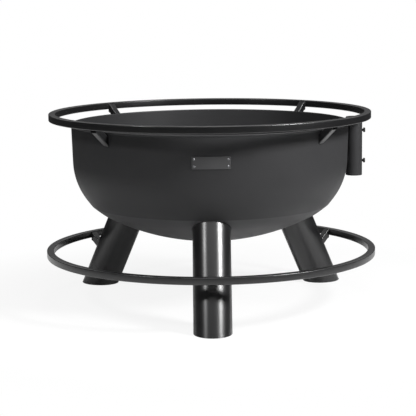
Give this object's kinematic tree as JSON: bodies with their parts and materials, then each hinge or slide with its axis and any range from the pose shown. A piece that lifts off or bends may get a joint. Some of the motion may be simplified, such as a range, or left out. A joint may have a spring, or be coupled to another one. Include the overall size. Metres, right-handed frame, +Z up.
{
  "type": "fire bowl",
  "caption": "Dished steel fire bowl on splayed tube legs, with a square-tube hand rail round the rim, a foot rail below and a pole socket with clamp screws at one side.",
  "frame": {"origin": "on the floor under the middle of the part's bounding box; the bowl's upright axis stands 8.1 mm behind it, towards +Y", "axes": "+Z up along the bowl's axis; -Y is the front, with the name plate and one leg; +X is the side with the pole socket"},
  "size_m": [0.962, 0.9782, 0.558],
  "materials": {
    "black_paint": "satin black heat-resistant paint over welded steel",
    "screw_steel": "blackened steel, hexagon heads",
    "plate_paint": "dark grey painted plate, bare",
    "rivet_steel": "plain steel rivet heads, slightly dulled"
  },
  "bodies": {
    "frame": {"bowl": "black_paint", "upper_rail": "black_paint", "lower_rail": "black_paint", "upper_strut_front_left": "black_paint", "upper_strut_front_right": "black_paint", "upper_strut_rear_right": "black_paint", "upper_strut_rear_left": "black_paint", "leg_front": "black_paint", "leg_rear_right": "black_paint", "leg_rear_left": "black_paint", "lower_strut_front": "black_paint", "lower_strut_rear_right": "black_paint", "lower_strut_rear_left": "black_paint", "pole_socket": "black_paint", "name_plate": "plate_paint", "plate_rivet_top_left": "rivet_steel", "plate_rivet_top_right": "rivet_steel", "plate_rivet_bottom_left": "rivet_steel", "plate_rivet_bottom_right": "rivet_steel"},
    "upper_screw": {"clamp_screw_upper": "screw_steel"},
    "lower_screw": {"clamp_screw_lower": "screw_steel"}
  },
  "joints": [
    {"name": "upper_screw_travel", "type": "slide", "parent": "frame", "child": "upper_screw", "axis": [1, 0, 0], "range_m": [-0.0029, 0.01]},
    {"name": "lower_screw_travel", "type": "slide", "parent": "frame", "child": "lower_screw", "axis": [1, 0, 0], "range_m": [-0.0029, 0.01]}
  ]
}
